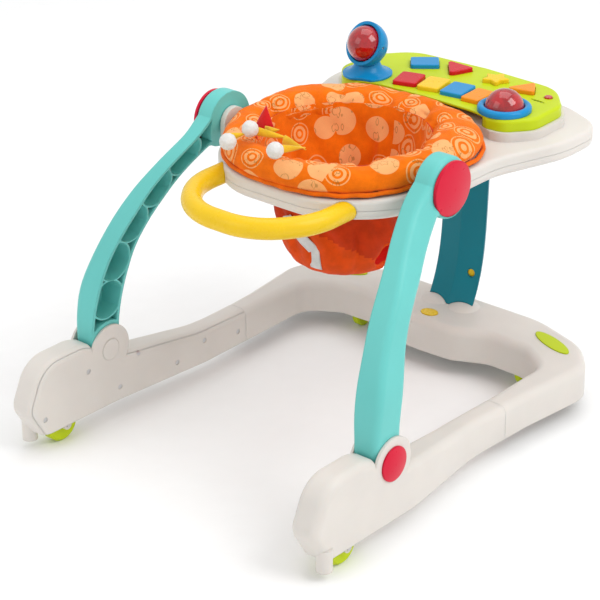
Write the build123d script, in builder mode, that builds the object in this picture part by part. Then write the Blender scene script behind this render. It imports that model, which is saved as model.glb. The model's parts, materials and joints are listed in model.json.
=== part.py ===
from build123d import *
import math
import os

os.makedirs("parts", exist_ok=True)

# ---------------------------------------------------------------- driving dimensions (mm)
# +X is the child's right, +Y the direction of travel, +Z up.  The floor is Z = 0.
ARM_OUT = 277.0               # outer face of the rear boots
ARM_IN = 233.0                # inner face of the rear boots
BASE_FRONT = 322.0            # foremost point of the front bar
BASE_BOTTOM = 26.0            # underside of the base above the floor
BAR_TOP = 77.0                # top of the front bar
SEAM_Y = 62.0                 # where the front bar meets the two arms
RIM_R = 13.0                  # rounding of the base's upper edges
WALL = 6.0                    # moulded wall of the base, measured inside the rounding
SKIN = 3.5                    # side covers of the arms
GAP = 0.3                     # clearance between separate mouldings

LOW_Y, LOW_Z = -211.0, 114.0  # axis of the rear legs' lower pivots
EAR_R = 37.0                  # round ears of the base around the lower pivots
HIGH_Y, HIGH_Z = -9.0, 414.0  # axis of the tray's pivots
HEAD_R = 42.0                 # round heads of the rear legs
HEAD_IN, HEAD_OUT = 179.0, 208.5   # inner and outer face of a leg's head
FOOT_IN, FOOT_OUT = 237.0, 273.0   # inner and outer face of a leg's foot
PIN_R = 8.0                   # pivot pins
FIT = 0.05                    # running clearance on the radius

TRAY_BOTTOM = 370.0
TRAY_SPLIT = 385.0            # joint line between the tray's two shells
RING_TOP = 400.0              # top of the tray round the seat
PLINTH_TOP = 413.0            # top of the tray under the toy panel
RING_Y = 28.0                 # centre of the seat ring, on X = 0
RING_HOLE_R = 126.0
PANEL_TOP = 430.0
PANEL_WALL = 3.0
DISC_R = 38.0                 # discs over the tray's pivots
CAP_R = 24.5                  # caps over the lower pivots

WHEEL_R, WHEEL_W = 27.0, 20.0
REAR_WHEEL_X, REAR_WHEEL_Y = 255.0, -298.0
CASTER_R, CASTER_W = 19.0, 14.0
CASTER_X, CASTER_Y, CASTER_TRAIL = 154.0, 272.0, 12.0
AXLE_R = 3.0

HANDLE_R, HANDLE_X, HANDLE_Z = 14.5, 106.0, 384.0
CUSHION_IN_R, CUSHION_TOP = 110.0, 444.0
SLING_WALL = 4.0

BALL_X, BALL_Y, BALL_Z, BALL_R = -118.0, 218.0, 479.0, 26.5
DOME_X, DOME_Y = 120.0, 233.0
DOME_R, DOME_H = 28.0, 31.0
KEY_PROUD = 6.0               # how far a key stands above the panel
KEY_FIT = 0.5                 # gap round each key


def write(piece, node):
    """Label a finished piece and write its STEP."""
    piece.part.label = node
    export_step(piece.part, f"parts/{node}.step")


def write_pair(piece, node):
    """Write a piece made on the right side, and its mirror image on the left."""
    write(piece, f"{node}_right")
    with BuildPart() as twin:
        mirror(piece.part, about=Plane.YZ)
    write(twin, f"{node}_left")


def across(x):
    """Plane square to X at x; on it the local x runs along +Y and the local y along +Z."""
    return Plane(origin=(x, 0, 0), x_dir=(0, 1, 0), z_dir=(1, 0, 0))


def long_rim(part, low_z):
    """Upper edges of a moulding that run along its length."""
    edges = part.edges().filter_by(lambda e: e.center().Z > low_z)
    return edges.filter_by(lambda e: abs((e @ 1).X - (e @ 0).X) < 0.98 * e.length)


# ---------------------------------------------------------------- base, right half
OUTER = [(ARM_OUT, -380), (ARM_OUT, -165), (256, -10), (262, 110), (277, 236), (234, 290),
         (140, BASE_FRONT), (0, BASE_FRONT)]
OUTER_RADII = [260, 300, 160, 60, 90, 160]
INNER = [(0, 204), (55, 206), (108, 231), (172, 229), (221, 196), (220, -30),
         (ARM_IN, -205), (ARM_IN, -380)]
INNER_RADII = [60, 50, 40, 34, 260, 200]
TOP = [(-346, 30), (-371, 72), (-340, 138), (-255, 138), (-190, 98), (-40, 80), (SEAM_Y, BAR_TOP),
       (BASE_FRONT + 20, BAR_TOP)]
TOP_RADII = [26, 50, 60, 80, 300, 500]

with BuildSketch() as base_plan:
    with BuildLine():
        FilletPolyline(*OUTER, radius=OUTER_RADII)
        Line(OUTER[-1], INNER[0])
        FilletPolyline(*INNER, radius=INNER_RADII)
        Line(INNER[-1], OUTER[0])
    make_face()

with BuildSketch() as base_side:
    with BuildLine():
        FilletPolyline(*TOP, radius=TOP_RADII)
        Polyline(TOP[-1], (TOP[-1][0], BASE_BOTTOM), (-26, BASE_BOTTOM), (-276, 29), TOP[0])
    make_face()

with BuildPart() as base_half:
    add(base_plan.sketch)
    extrude(amount=200)
    with BuildSketch(Plane.YZ):
        add(base_side.sketch)
    extrude(amount=ARM_OUT + 20, mode=Mode.INTERSECT)

with BuildPart() as base_core:
    with BuildSketch():
        add(base_plan.sketch)
        offset(amount=-WALL)
    extrude(amount=200)
    with BuildSketch(Plane.YZ):
        add(base_side.sketch)
        offset(amount=-WALL)
    extrude(amount=ARM_OUT + 20, mode=Mode.INTERSECT)

# ---------------------------------------------------------------- front bar
STEM_R, STEM_TOP = 5.0, 66.0
BOSS_R, BOSS_LOW = 10.0, 46.0
HUMP_R, HUMP_RISE = 45.0, 7.0   # low domes that the front leg stands on
HUMP_X, HUMP_Y = 25.0, 281.0

with BuildSketch() as core_plan:
    add(base_plan.sketch)
    offset(amount=-WALL)


def hump(x, radius):
    """Low dome standing out of the bar's top."""
    with BuildPart() as dome_cap:
        with Locations((x, HUMP_Y, BAR_TOP + HUMP_RISE - HUMP_R)):
            Sphere(radius)
        with Locations((x, HUMP_Y, BAR_TOP - WALL / 2 - radius)):
            Box(2 * radius, 2 * radius, 2 * radius, mode=Mode.SUBTRACT)
    return dome_cap.part


with BuildPart() as bar_half:
    add(base_half.part)
    split(bisect_by=Plane(origin=(0, SEAM_Y, 0), z_dir=(0, 1, 0)))
    rim = long_rim(bar_half, BAR_TOP - 1)
    fillet(rim.filter_by(lambda e: e.center().Y > SEAM_Y + 1 and e.center().X > 1), radius=RIM_R)
    add(hump(HUMP_X, HUMP_R))
    add(core_plan.sketch)
    extrude(amount=BAR_TOP - WALL, mode=Mode.SUBTRACT)
    with Locations((CASTER_X, CASTER_Y, (BOSS_LOW + BAR_TOP - WALL) / 2 + 0.5)):
        Cylinder(BOSS_R, BAR_TOP - WALL - BOSS_LOW + 1)
    with Locations((CASTER_X, CASTER_Y, (BOSS_LOW + STEM_TOP) / 2)):
        Cylinder(STEM_R + FIT, STEM_TOP - BOSS_LOW + 1, mode=Mode.SUBTRACT)

with BuildPart() as base_front_bar:
    add(bar_half.part)
    mirror(bar_half.part, about=Plane.YZ)
write(base_front_bar, "base_front_bar")

# ---------------------------------------------------------------- arms and their side covers
SCREW_SPOTS = [(-343, 55), (-256, 96), (-158, 88), (-196, 48), (-85, 46), (-30, 62), (44, 48)]
SCREW_R = 2.6
SCREW_HEAD_R = 3.8
HEAD_SUNK, HEAD_DEPTH = 0.9, 1.6     # screw heads below the cover's face
BUMPER_X, BUMPER_Y, BUMPER_R, BUMPER_Z = 269.0, -341.0, 11.0, (13.0, 46.0)
SLOT_Y, SLOT_Z = (-246.0, -176.0), (72.0, 170.0)
SCREW_DEEP = 14.0             # depth of the screw holes from the arm's inner face
AXLE_BOSS_R, AXLE_BOSS_L = 7.0, 7.0


def inner_band(depth):
    """Everything within depth of the arm's inner face, as a tall block."""
    with BuildPart() as band:
        with BuildSketch():
            with BuildLine():
                face = FilletPolyline(*[(x + depth, y) for x, y in INNER[4:]], radius=INNER_RADII[4:])
                Polyline(face @ 1, (ARM_IN - 60, INNER[-1][1]), (ARM_IN - 60, INNER[4][1]), face @ 0)
            make_face()
        extrude(amount=200)
    return band.part


def screw_rods(radius):
    """Rods of one radius through all the cover's screw places."""
    with BuildPart() as rods:
        with BuildSketch(across(ARM_IN - 60)):
            with Locations(*SCREW_SPOTS):
                Circle(radius)
        extrude(amount=120)
    return rods.part


with BuildPart() as arm_solid:
    add(base_half.part)
    split(bisect_by=Plane(origin=(0, SEAM_Y - GAP, 0), z_dir=(0, -1, 0)))
    rim = long_rim(arm_solid, 60).filter_by(lambda e: e.center().Z > 75 or e.center().Y < -300)
    fillet(rim.filter_by(lambda e: e.center().Y < SEAM_Y - 1), radius=RIM_R - 1)
    with BuildSketch(across(ARM_IN)):
        with Locations((LOW_Y, LOW_Z)):
            Circle(EAR_R)
    extrude(amount=ARM_OUT - ARM_IN)
    with Locations((BUMPER_X, BUMPER_Y, sum(BUMPER_Z) / 2)):
        Cylinder(BUMPER_R, BUMPER_Z[1] - BUMPER_Z[0])


def trimmed_rods(radius, shallow, deep):
    """The screw rods between two depths below the arm's inner face."""
    with BuildPart() as rods:
        add(screw_rods(radius))
        add(arm_solid.part, mode=Mode.INTERSECT)
        add(inner_band(deep), mode=Mode.INTERSECT)
        if shallow:
            add(inner_band(shallow), mode=Mode.SUBTRACT)
    return rods.part


with BuildPart() as arm_bosses:
    add(screw_rods(SCREW_HEAD_R + 1.5))
    add(arm_solid.part, mode=Mode.INTERSECT)

with BuildPart() as arm_core:
    with BuildSketch():
        with Locations((0, 0), (-WALL, 0)):
            add(core_plan.sketch)
    extrude(amount=200)
    with BuildSketch(Plane.YZ):
        add(base_side.sketch)
        offset(amount=-WALL)
    extrude(amount=ARM_OUT + 20, mode=Mode.INTERSECT)

with BuildPart() as arm_cuts:
    with BuildSketch(across(FOOT_IN - GAP)):
        with Locations((sum(SLOT_Y) / 2, sum(SLOT_Z) / 2)):
            Rectangle(SLOT_Y[1] - SLOT_Y[0], SLOT_Z[1] - SLOT_Z[0])
    extrude(amount=FOOT_OUT - FOOT_IN + 2 * GAP)
    with BuildSketch(across(ARM_IN + SKIN)):
        with Locations((REAR_WHEEL_Y, WHEEL_R)):
            Rectangle(2 * WHEEL_R + 4, 2 * WHEEL_R + 4)
    extrude(amount=REAR_WHEEL_X + WHEEL_W / 2 + 1.5 - ARM_IN - SKIN)
    with BuildSketch(across(FOOT_IN - 10)):
        with Locations((LOW_Y, LOW_Z)):
            Circle(PIN_R + FIT)
    extrude(amount=60)

with BuildPart() as axle_bore:
    with BuildSketch(across(ARM_IN + 1)):
        with Locations((REAR_WHEEL_Y, WHEEL_R)):
            Circle(AXLE_R + FIT)
    extrude(amount=ARM_OUT - ARM_IN - 2)

with BuildPart() as arm_shell:
    add(arm_solid.part)
    add(arm_core.part, mode=Mode.SUBTRACT)
    add(arm_bosses.part)
    with BuildSketch(across(REAR_WHEEL_X + WHEEL_W / 2 + 1.5)):
        with Locations((REAR_WHEEL_Y, WHEEL_R)):
            Circle(AXLE_BOSS_R)
    extrude(amount=AXLE_BOSS_L)
    add(arm_cuts.part, mode=Mode.SUBTRACT)
    add(inner_band(SKIN + GAP), mode=Mode.SUBTRACT)
    add(trimmed_rods(SCREW_R + FIT, 0, SCREW_DEEP), mode=Mode.SUBTRACT)
    add(axle_bore.part, mode=Mode.SUBTRACT)
write_pair(arm_shell, "arm_shell")

with BuildPart() as arm_cover:
    add(arm_solid.part)
    add(inner_band(SKIN), mode=Mode.INTERSECT)
    with BuildSketch(across(ARM_IN + SKIN)):
        with Locations((REAR_WHEEL_Y, WHEEL_R)):
            Circle(AXLE_BOSS_R)
    extrude(amount=REAR_WHEEL_X - WHEEL_W / 2 - 1.5 - ARM_IN - SKIN)
    with BuildSketch(across(ARM_IN)):
        with Locations((LOW_Y, LOW_Z)):
            Circle(PIN_R + 8)
    extrude(amount=-1.2)
    with BuildSketch(across(ARM_IN + 1)):
        with Locations((LOW_Y, LOW_Z)):
            Circle(PIN_R + FIT)
    extrude(amount=10, mode=Mode.SUBTRACT)
    add(screw_rods(SCREW_R + FIT), mode=Mode.SUBTRACT)
    add(axle_bore.part, mode=Mode.SUBTRACT)
    add(trimmed_rods(SCREW_HEAD_R, 0, HEAD_DEPTH), mode=Mode.SUBTRACT)
write_pair(arm_cover, "arm_cover")

with BuildPart() as arm_screws:
    add(trimmed_rods(SCREW_R, HEAD_SUNK, SKIN + 6))
    add(trimmed_rods(SCREW_HEAD_R - 0.2, HEAD_SUNK, HEAD_DEPTH))
    mirror(about=Plane.YZ)
write(arm_screws, "arm_screws")


# ---------------------------------------------------------------- pivots, caps and discs
def pin(x_in, x_out, y, z, radius):
    """Round pin along X on both sides of the object."""
    with BuildPart() as pins:
        with BuildSketch(across(x_in)):
            with Locations((y, z)):
                Circle(radius)
        extrude(amount=x_out - x_in)
        mirror(about=Plane.YZ)
    return pins


def cap_arc(foot, height, radius):
    """Arc of a spherical cap's section, from its rim at the given foot to its top on the axis."""
    sphere = (radius ** 2 + height ** 2) / (2 * height)
    middle = foot + height - sphere + math.sqrt(sphere ** 2 - (radius / 2) ** 2)
    return ThreePointArc((foot, radius), (middle, radius / 2), (foot + height, 0))


def lens(centre, facing, radius, rim, crown):
    """Disc with a straight rim and a crowned face, its back on the given centre."""
    with BuildPart() as disc:
        with BuildSketch(Plane(origin=centre, x_dir=facing, z_dir=(0, 1, 0))):
            with BuildLine():
                Polyline((rim + crown, 0), (0, 0), (0, radius), (rim, radius))
                cap_arc(rim, crown, radius)
            make_face()
        revolve(axis=Axis(centre, facing))
    return disc


DISC_RIM, DISC_CROWN = 4.5, 4.0
CAP_RIM, CAP_CROWN = 2.0, 3.0

write(pin(ARM_IN + 1.2, ARM_OUT - 0.2, LOW_Y, LOW_Z, PIN_R), "lower_pivot_pins")
write_pair(lens((ARM_OUT + 0.1, LOW_Y, LOW_Z), (1, 0, 0), CAP_R, CAP_RIM, CAP_CROWN), "lower_pivot_cap")
write(pin(HEAD_IN - 8.5, HEAD_OUT - 0.2, HIGH_Y, HIGH_Z, PIN_R), "tray_pivot_pins")
write_pair(lens((HEAD_OUT + 0.3, HIGH_Y, HIGH_Z), (1, 0, 0), DISC_R, DISC_RIM, DISC_CROWN), "pivot_disc")

# ---------------------------------------------------------------- small parts on the base
PAD_X, PAD_Y, PAD_TURN = 197.0, 264.0, -22.0
PAD_LONG, PAD_WIDE = 40.0, 12.0

with BuildPart() as corner_pad:
    with BuildSketch(Plane.XY.offset(BAR_TOP + 0.05)):
        with Locations(Location((PAD_X, PAD_Y, 0), (0, 0, PAD_TURN))):
            Ellipse(PAD_LONG, PAD_WIDE)
    extrude(amount=1.6)
write_pair(corner_pad, "corner_pad")

with BuildPart() as oval_badge:
    with BuildSketch(Plane.XY.offset(BAR_TOP + 0.05)):
        with Locations((-3, 232)):
            Ellipse(14, 11)
    extrude(amount=1.2)
write(oval_badge, "oval_badge")

# ---------------------------------------------------------------- rear legs
REAR_LINE = [(-242, 95), (-242, 190), (-205, 275), (-130, 365), (-22, 449)]
REAR_RADII = [230, 300, 400]
FRONT_LINE = [(-12, 400), (-82, 352), (-152, 283), (-186, 190), (-191, 95)]
FRONT_RADII = [400, 200, 260]
LEG_OUTER = [(FOOT_OUT, 70), (FOOT_OUT, 205), (246, 325), (HEAD_OUT, 402), (HEAD_OUT, 470)]
OUTER_LEG_RADII = [200, 240, 30]
LEG_INNER = [(HEAD_IN, 470), (HEAD_IN, 412), (206, 348), (227, 255), (FOOT_IN, 150), (FOOT_IN, 70)]
FOOT_R = 29.0
LEG_WALL = 4.5
LEG_ROUND, ROUND_TOP = 10.0, 385.0   # rounding of the leg's outer edges, below this height
RIB_R, RIB_T = 31.0, 2.6
RIBS = [(-212, 192), (-200, 248), (-172, 300), (-133, 344), (-88, 380)]


def leg_mid_x(z):
    """Roughly the middle of the leg's thickness at a height."""
    return FOOT_OUT - 20 - 62 * max(0.0, (z - 190) / 220) ** 1.7


with BuildSketch() as leg_side:
    with BuildLine():
        rear = FilletPolyline(*REAR_LINE, radius=REAR_RADII)
        front = FilletPolyline(*FRONT_LINE, radius=FRONT_RADII)
        Line(rear @ 1, front @ 0)
        Line(front @ 1, rear @ 0)
    make_face()
    with Locations((HIGH_Y, HIGH_Z)):
        Circle(HEAD_R)
    with Locations((LOW_Y, LOW_Z)):
        Circle(FOOT_R)

with BuildPart() as rear_leg:
    with BuildSketch(Plane.YZ):
        add(leg_side.sketch)
    extrude(amount=ARM_OUT + 10)
    with BuildSketch(Plane.XZ):
        with BuildLine():
            outer = FilletPolyline(*LEG_OUTER, radius=OUTER_LEG_RADII)
            inner = FilletPolyline(*LEG_INNER, radius=[60, 200, 300, 120])
            Line(outer @ 1, inner @ 0)
            Line(inner @ 1, outer @ 0)
        make_face()
    extrude(amount=500, both=True, mode=Mode.INTERSECT)
    bend = rear_leg.edges().filter_by(lambda e: LOW_Z < e.center().Z < ROUND_TOP and e.length > 15)
    fillet(bend.filter_by(lambda e: e.center().X > leg_mid_x(e.center().Z)), radius=LEG_ROUND)

with BuildPart() as leg_channel:
    with BuildSketch(Plane.YZ):
        with BuildLine():
            rear = FilletPolyline(*REAR_LINE, radius=REAR_RADII)
            front = FilletPolyline(*FRONT_LINE, radius=FRONT_RADII)
            Line(rear @ 1, front @ 0)
            Line(front @ 1, rear @ 0)
        make_face()
        offset(amount=-LEG_WALL)
        with Locations((HIGH_Y, HIGH_Z)):
            Circle(HEAD_R - 4, mode=Mode.SUBTRACT)
        with Locations((LOW_Y, LOW_Z)):
            Circle(FOOT_R + 14, mode=Mode.SUBTRACT)
    extrude(amount=ARM_OUT + 10)
    with BuildSketch(Plane.XZ):
        with BuildLine():
            outer = FilletPolyline(*[(x - LEG_WALL, z) for x, z in LEG_OUTER], radius=OUTER_LEG_RADII)
            Polyline(outer @ 1, (HEAD_IN - 60, 470), (HEAD_IN - 60, 70), outer @ 0)
        make_face()
    extrude(amount=500, both=True, mode=Mode.INTERSECT)
    with BuildSketch(Plane.YZ):
        with Locations(*RIBS):
            Circle(RIB_R)
        with Locations(*RIBS):
            Circle(RIB_R - RIB_T, mode=Mode.SUBTRACT)
    extrude(amount=ARM_OUT, mode=Mode.SUBTRACT)

with BuildPart() as rear_leg_right:
    add(rear_leg.part)
    with BuildSketch(across(HEAD_OUT)):
        with Locations((HIGH_Y, HIGH_Z)):
            Circle(DISC_R + GAP)
    extrude(amount=40, mode=Mode.SUBTRACT)
    add(leg_channel.part, mode=Mode.SUBTRACT)
    with BuildSketch(across(HEAD_IN - 1)):
        with Locations((LOW_Y, LOW_Z), (HIGH_Y, HIGH_Z)):
            Circle(PIN_R + FIT)
    extrude(amount=110, mode=Mode.SUBTRACT)
write_pair(rear_leg_right, "rear_leg")

# ---------------------------------------------------------------- front leg and its release button
RIDGE = [(272, 77.4), (290, 121), (298, 157), (302, 194), (305, 250), (307, 310), (309, TRAY_BOTTOM - 0.1)]
WING_X, WING_DEEP, WING_T = 40.0, 7.0, 7.0
BUTTON_X, BUTTON_Y, BUTTON_Z, BUTTON_R = 24.0, 301.0, 127.0, 6.0

with BuildPart() as front_leg:
    for y, z in RIDGE:
        with BuildSketch(Plane.XY.offset(z)):
            with BuildLine():
                Polyline((0, y), (WING_X, y + WING_DEEP), (WING_X - 3, y + WING_DEEP + WING_T), (0, y + WING_T),
                         (3 - WING_X, y + WING_DEEP + WING_T), (-WING_X, y + WING_DEEP), close=True)
            make_face()
    loft()
    for side in (1, -1):
        add(hump(side * HUMP_X, HUMP_R + GAP), mode=Mode.SUBTRACT)

button_plane = Plane(origin=(BUTTON_X, BUTTON_Y, BUTTON_Z), z_dir=(WING_DEEP, -WING_X, 0))
with BuildPart() as front_leg_bored:
    add(front_leg.part)
    with BuildSketch(button_plane.offset(-25)):
        Circle(BUTTON_R + GAP)
    extrude(amount=50, mode=Mode.SUBTRACT)
write(front_leg_bored, "front_leg")

with BuildPart() as release_button:
    with BuildSketch(button_plane.offset(-6)):
        Circle(BUTTON_R)
    extrude(amount=8.5)
write(release_button, "release_button")

# ---------------------------------------------------------------- wheels and casters
with BuildPart() as rear_wheel:
    with BuildSketch(Plane(origin=(REAR_WHEEL_X, REAR_WHEEL_Y, WHEEL_R), x_dir=(1, 0, 0), z_dir=(0, 0, 1))):
        with BuildLine():
            half = WHEEL_W / 2
            Polyline((half - 3, WHEEL_R), (3 - half, WHEEL_R), (-half, WHEEL_R - 3), (-half, AXLE_R + FIT),
                     (half, AXLE_R + FIT), (half, WHEEL_R - 3), close=True)
        make_face()
    revolve(axis=Axis((0, REAR_WHEEL_Y, WHEEL_R), (1, 0, 0)))
write_pair(rear_wheel, "rear_wheel")
write(pin(ARM_IN + 1.2, ARM_OUT - 1.2, REAR_WHEEL_Y, WHEEL_R, AXLE_R), "rear_axles")

CASTER_AXLE_Y = CASTER_Y - CASTER_TRAIL
with BuildPart() as caster_fork:
    with Locations((CASTER_X, CASTER_Y, (BOSS_LOW - GAP + CASTER_R * 2 + 2) / 2)):
        Cylinder(11, BOSS_LOW - GAP - CASTER_R * 2 - 2)
    with BuildSketch(Plane.XY.offset(CASTER_R * 2 + 1)):
        with Locations((CASTER_X, CASTER_AXLE_Y + 5)):
            Rectangle(CASTER_W + 8, 30)
    extrude(amount=3)
    for side in (1, -1):
        with BuildSketch(across(CASTER_X + side * (CASTER_W / 2 + 2.2))):
            with BuildLine():
                Polyline((CASTER_AXLE_Y - 7, CASTER_R), (CASTER_AXLE_Y - 9, CASTER_R * 2 + 3),
                         (CASTER_AXLE_Y + 19, CASTER_R * 2 + 3), (CASTER_AXLE_Y + 7, CASTER_R))
                ThreePointArc((CASTER_AXLE_Y + 7, CASTER_R), (CASTER_AXLE_Y, CASTER_R - 7),
                              (CASTER_AXLE_Y - 7, CASTER_R))
            make_face()
        extrude(amount=1.3, both=True)
    with Locations((CASTER_X, CASTER_Y, (STEM_TOP + CASTER_R * 2 + 2) / 2)):
        Cylinder(STEM_R, STEM_TOP - CASTER_R * 2 - 2)
    with BuildSketch(across(CASTER_X)):
        with Locations((CASTER_AXLE_Y, CASTER_R)):
            Circle(AXLE_R)
    extrude(amount=CASTER_W / 2 + 3.4, both=True)
write_pair(caster_fork, "caster_fork")

with BuildPart() as caster_wheel:
    with BuildSketch(Plane(origin=(CASTER_X, CASTER_AXLE_Y, CASTER_R), x_dir=(1, 0, 0), z_dir=(0, 0, 1))):
        with BuildLine():
            half = CASTER_W / 2
            Polyline((half - 2.5, CASTER_R), (2.5 - half, CASTER_R), (-half, CASTER_R - 2.5),
                     (-half, AXLE_R + FIT), (half, AXLE_R + FIT), (half, CASTER_R - 2.5), close=True)
        make_face()
    revolve(axis=Axis((0, CASTER_AXLE_Y, CASTER_R), (1, 0, 0)))
write_pair(caster_wheel, "caster_wheel")

# ---------------------------------------------------------------- tray
TRAY_LINE = [(0, -131), (78, -131), (152, -70), (175, 5), (176, 140), (214, 252), (214, 334), (136, 371), (0, 371)]
TRAY_RADII = [110, 110, 150, 160, 150, 50, 90]
PANEL_LINE = [(0, 196), (110, 194), (144, 196), (174, 232), (172, 300), (128, 352), (0, 359)]
PANEL_RADII = [10, 26, 34, 34, 60]
CUSHION_LINE = [(0, -139), (60, -139), (130, -104), (168, -38), (168, 24), (178, 76), (172, 148),
                (118, 200), (0, 205)]
CUSHION_RADII = [110, 110, 90, 150, 90, 70, 110]
TRAY_SIDE_R, TRAY_SIDE_TOP_R = 11.0, 6.0
HUB_R, HUB_X = 22.0, (169.0, 177.5)
TRAY_WALL = 7.0
CUSHION_GAP = 2.0             # room between the padded rim and the toy panel
BOARD_Y, BOARD_W, BOARD_D = 283.0, 150.0, 84.0
POCKET = 9.0                  # depth of the well for the circuit board


def half_face(points, radii):
    """Right half of a symmetric plan, from X = 0 round to X = 0."""
    with BuildSketch() as plan:
        with BuildLine():
            FilletPolyline(*points, radius=radii)
            Line(points[-1], points[0])
        make_face()
    return plan.sketch


def cushion_plan(grow):
    """Outline of the padded rim, grown by a margin."""
    with BuildSketch() as plan:
        with BuildLine():
            right = FilletPolyline(*CUSHION_LINE, radius=CUSHION_RADII)
            mirror(right, about=Plane.YZ)
        make_face()
        if grow:
            offset(amount=grow)
    return plan.sketch


with BuildPart() as handle_core:
    with BuildLine() as handle_path:
        FilletPolyline((HANDLE_X, -60, HANDLE_Z), (HANDLE_X, -162, HANDLE_Z), (56, -229, HANDLE_Z), (-56, -229, HANDLE_Z),
                       (-HANDLE_X, -162, HANDLE_Z), (-HANDLE_X, -60, HANDLE_Z), radius=[95, 90, 90, 95])
    with BuildSketch(Plane(origin=handle_path.line @ 0, z_dir=handle_path.line % 0)):
        Circle(HANDLE_R)
    sweep()
write(handle_core, "handle")

with BuildPart() as handle_sockets:
    for side in (1, -1):
        with BuildSketch(Plane(origin=(side * HANDLE_X, -59, HANDLE_Z), z_dir=(0, -1, 0))):
            Circle(HANDLE_R + 0.1)
        extrude(amount=90)

with BuildPart() as tray_block:
    add(half_face(TRAY_LINE, TRAY_RADII))
    extrude(amount=RING_TOP - TRAY_BOTTOM)
    low = tray_block.edges().filter_by(lambda e: e.center().Z < 1 and e.center().X > 1)
    fillet(low, radius=TRAY_SIDE_R)
    high = tray_block.edges().filter_by(lambda e: e.center().Z > RING_TOP - TRAY_BOTTOM - 1 and e.center().X > 1)
    fillet(high, radius=TRAY_SIDE_TOP_R)
    mirror(about=Plane.YZ)

with BuildPart() as tray_body:
    with Locations((0, 0, TRAY_BOTTOM)):
        add(tray_block.part)
    with BuildSketch(Plane.XY.offset(RING_TOP - 8)):
        with BuildLine():
            right = FilletPolyline(*PANEL_LINE, radius=PANEL_RADII)
            mirror(right, about=Plane.YZ)
        make_face()
        offset(amount=5)
    extrude(amount=PLINTH_TOP - RING_TOP + 8)
    with BuildSketch(Plane.XY.offset(RING_TOP)):
        add(cushion_plan(CUSHION_GAP))
    extrude(amount=PLINTH_TOP - RING_TOP + 1, mode=Mode.SUBTRACT)
    with BuildSketch(Plane.XY.offset(PLINTH_TOP)):
        with Locations((0, BOARD_Y)):
            Rectangle(BOARD_W + 4, BOARD_D + 4)
    extrude(amount=-POCKET, mode=Mode.SUBTRACT)

with BuildPart() as tray_hollow:
    with BuildSketch(Plane.XY.offset(TRAY_BOTTOM + 5)):
        add(half_face(TRAY_LINE, TRAY_RADII))
        mirror(half_face(TRAY_LINE, TRAY_RADII), about=Plane.YZ)
        offset(amount=-TRAY_WALL)
        with Locations((0, RING_Y)):
            Circle(RING_HOLE_R + 5, mode=Mode.SUBTRACT)
    extrude(amount=RING_TOP - TRAY_BOTTOM - 9)

with BuildPart() as tray_shell:
    add(tray_body.part)
    for side in (1, -1):
        with BuildSketch(across(side * sum(HUB_X) / 2)):
            with Locations((HIGH_Y, HIGH_Z)):
                Circle(HUB_R)
            with Locations((HIGH_Y, (HIGH_Z + RING_TOP - 6) / 2)):
                Rectangle(2 * HUB_R, HIGH_Z - RING_TOP + 6)
        extrude(amount=(HUB_X[1] - HUB_X[0]) / 2, both=True)
    add(tray_hollow.part, mode=Mode.SUBTRACT)
    with Locations((0, RING_Y, RING_TOP)):
        Cylinder(RING_HOLE_R, 200, mode=Mode.SUBTRACT)
    with BuildSketch(across(-200)):
        with Locations((HIGH_Y, HIGH_Z)):
            Circle(PIN_R + FIT)
    extrude(amount=400, mode=Mode.SUBTRACT)
    add(handle_sockets.part, mode=Mode.SUBTRACT)

DOOR_X, DOOR_Y, DOOR_W, DOOR_D = 105.0, 275.0, 84.0, 58.0
with BuildPart() as tray_bottom:
    add(tray_shell.part)
    split(bisect_by=Plane(origin=(0, 0, TRAY_SPLIT - 0.1), z_dir=(0, 0, -1)))
    with Locations((DOOR_X, DOOR_Y, TRAY_BOTTOM)):
        Box(DOOR_W + 0.4, DOOR_D + 0.4, 6, mode=Mode.SUBTRACT)
write(tray_bottom, "tray_bottom")

with BuildPart() as tray_top:
    add(tray_shell.part)
    split(bisect_by=Plane(origin=(0, 0, TRAY_SPLIT + 0.1), z_dir=(0, 0, 1)))
write(tray_top, "tray_top")

with BuildPart() as battery_door:
    with Locations((DOOR_X, DOOR_Y, TRAY_BOTTOM + 1.5)):
        Box(DOOR_W, DOOR_D, 2.6)
    with Locations((DOOR_X, DOOR_Y, TRAY_BOTTOM + 0.9)):
        with GridLocations(1, 7, 1, 5):
            Box(40, 2, 2.4)
write(battery_door, "battery_door")

with BuildPart() as batteries:
    for row in range(3):
        with BuildSketch(across(DOOR_X - 25)):
            with Locations((DOOR_Y - 16 + 16 * row, TRAY_BOTTOM + 12.5)):
                Circle(7.2)
        extrude(amount=50)
write(batteries, "batteries")

# ---------------------------------------------------------------- toy panel and what it carries
# Each key: centre X, Y, width, depth, turn about Z in degrees.
KEYS = {
    "key_red": (-55, 241, 36, 44, 16),
    "key_yellow": (-15, 247, 34, 46, 12),
    "key_blue": (26, 250, 36, 46, 8),
    "key_orange": (63, 248, 30, 46, 3),
}
SQUARE_X, SQUARE_Y, SQUARE_W, SQUARE_D, SQUARE_TURN = -80.0, 311.0, 42.0, 36.0, 38.0
TRIANGLE = [(-56, 336), (-6, 334), (-22, 294)]
STAR_X, STAR_Y, STAR_R = 42.0, 320.0, 22.0
ARROW = [(76, 296), (98, 340), (120, 306)]
SHAPE_ROUND = 4.0
POWER_X, POWER_Y, POWER_R = 140.0, 312.0, 6.0


def key_plan(x, y, width, depth, turn, grow=0.0):
    """Rounded rectangle of one key."""
    with BuildSketch() as plan:
        with Locations(Location((x, y, 0), (0, 0, turn))):
            RectangleRounded(width + 2 * grow, depth + 2 * grow, SHAPE_ROUND + grow)
    return plan.sketch


def corner_plan(points, rounding, grow=0.0):
    """Polygon of one shape button with rounded corners."""
    with BuildSketch() as plan:
        with BuildLine():
            Polyline(*points, close=True)
        make_face()
        fillet(plan.vertices(), radius=rounding)
        if grow:
            offset(amount=grow)
    return plan.sketch


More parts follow.
